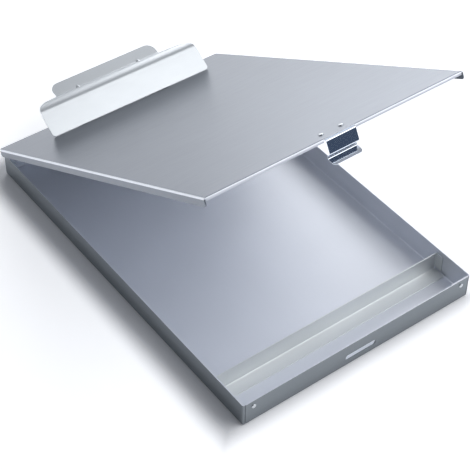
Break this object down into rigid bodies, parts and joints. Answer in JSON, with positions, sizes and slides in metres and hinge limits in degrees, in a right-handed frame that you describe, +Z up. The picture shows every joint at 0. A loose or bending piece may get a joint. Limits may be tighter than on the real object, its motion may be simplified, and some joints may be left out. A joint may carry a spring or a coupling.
{
  "type": "storage clipboard box",
  "caption": "Sheet-metal storage box with a pen divider, a hinged lid that is a writing board, a sprung lever clip on the lid and a spring latch at the front.",
  "frame": {"origin": "middle of the tray's underside", "axes": "+X to the right seen from the latch, +Y towards the hinge, +Z up"},
  "size_m": [0.252, 0.3943, 0.2152],
  "materials": {
    "tray_sheet": "brushed, lightly anodised",
    "divider_sheet": "brushed, lightly anodised",
    "lid_sheet": "satin, lightly anodised",
    "rivet": "plain, lightly polished",
    "hinge_steel": "zinc plated",
    "pin_steel": "drawn wire",
    "clip_frame": "zinc plated",
    "clip_plate": "bright nickel plate",
    "spring_wire": "oiled spring wire",
    "latch_plate": "bright chrome plate"
  },
  "bodies": {
    "tray": {"tray": "tray_sheet", "pen_divider": "divider_sheet", "front_corner_rivets": "rivet", "rear_corner_rivets": "rivet", "hinge_leaf_tray": "hinge_steel", "hinge_pin": "pin_steel", "tray_hinge_rivets": "rivet"},
    "lid": {"lid_panel": "lid_sheet", "hinge_leaf_lid": "hinge_steel", "lid_hinge_rivets": "rivet", "clip_base": "clip_frame", "clip_base_rivets": "rivet", "clip_pin": "pin_steel", "clip_spring_left": "spring_wire", "clip_spring_right": "spring_wire", "latch_foot": "latch_plate", "latch_rivets": "rivet"},
    "clip": {"clip_jaw": "clip_plate", "jaw_bracket_left": "clip_frame", "jaw_bracket_right": "clip_frame"},
    "latch": {"latch_leaf": "latch_plate"}
  },
  "joints": [
    {"name": "lid_hinge", "type": "hinge", "parent": "tray", "child": "lid", "pos_m": [0, 0.1892, 0.026], "axis": [-1, 0, 0], "range_deg": [-29.85, 90]},
    {"name": "clip_pivot", "type": "hinge", "parent": "lid", "child": "clip", "pos_m": [0, 0.17313, 0.05141], "axis": [-1, 0, 0], "range_deg": [0, 25], "stiffness_Nm_per_rad": 0.8, "springref_deg": -31.51, "deforming": ["clip_spring_left", "clip_spring_right"]},
    {"name": "latch_flex", "type": "hinge", "parent": "lid", "child": "latch", "pos_m": [0, -0.14019, 0.21305], "axis": [-1, 0, 0], "range_deg": [0, 8], "stiffness_Nm_per_rad": 0.7}
  ]
}
